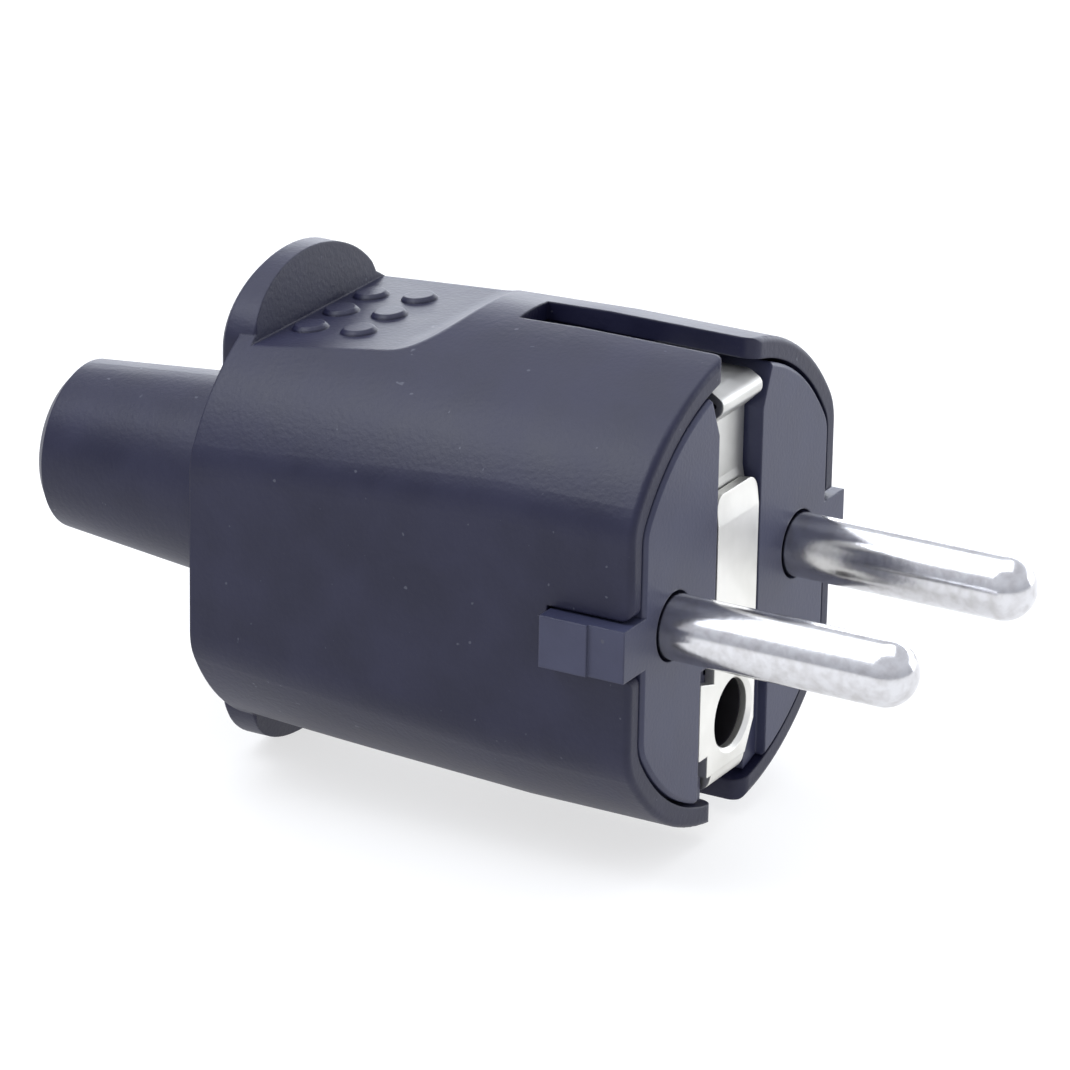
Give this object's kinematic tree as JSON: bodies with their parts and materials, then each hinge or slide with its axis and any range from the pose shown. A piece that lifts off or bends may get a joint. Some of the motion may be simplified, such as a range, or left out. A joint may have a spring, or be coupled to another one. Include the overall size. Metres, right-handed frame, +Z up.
{
  "type": "earthed mains plug",
  "caption": "Rewireable earthed mains plug with round pins, side earth contacts, earth socket hole, soft flat-sided hood with finger guards and a bend protection sleeve.",
  "frame": {"origin": "centre of the plug's front face, midway between the two pins", "axes": "+X forward along the pins, +Z up through one side earth contact, +Y towards one pin"},
  "size_m": [0.075, 0.034, 0.0378],
  "materials": {
    "soft_black": "matt, very fine grain",
    "hard_black": "matt",
    "nickel": "nickel-plated brass",
    "screw_steel": "zinc-plated"
  },
  "bodies": {
    "root": {"hood": "soft_black", "bend_sleeve": "soft_black", "contact_carrier": "hard_black", "terminal_housing": "hard_black", "line_pin": "nickel", "neutral_pin": "nickel", "pin_clamp_screws": "screw_steel", "pressure_plates": "screw_steel", "earth_bridge": "nickel", "earth_spring": "nickel", "earth_rivet": "nickel", "earth_socket_tube": "nickel", "earth_terminal": "nickel", "earth_clamp_screw": "screw_steel", "housing_screws": "screw_steel", "cord_clamp_saddle": "hard_black", "cord_clamp_bar": "hard_black", "cord_clamp_screws": "screw_steel", "cord_clamp_nuts": "screw_steel"}
  },
  "joints": []
}
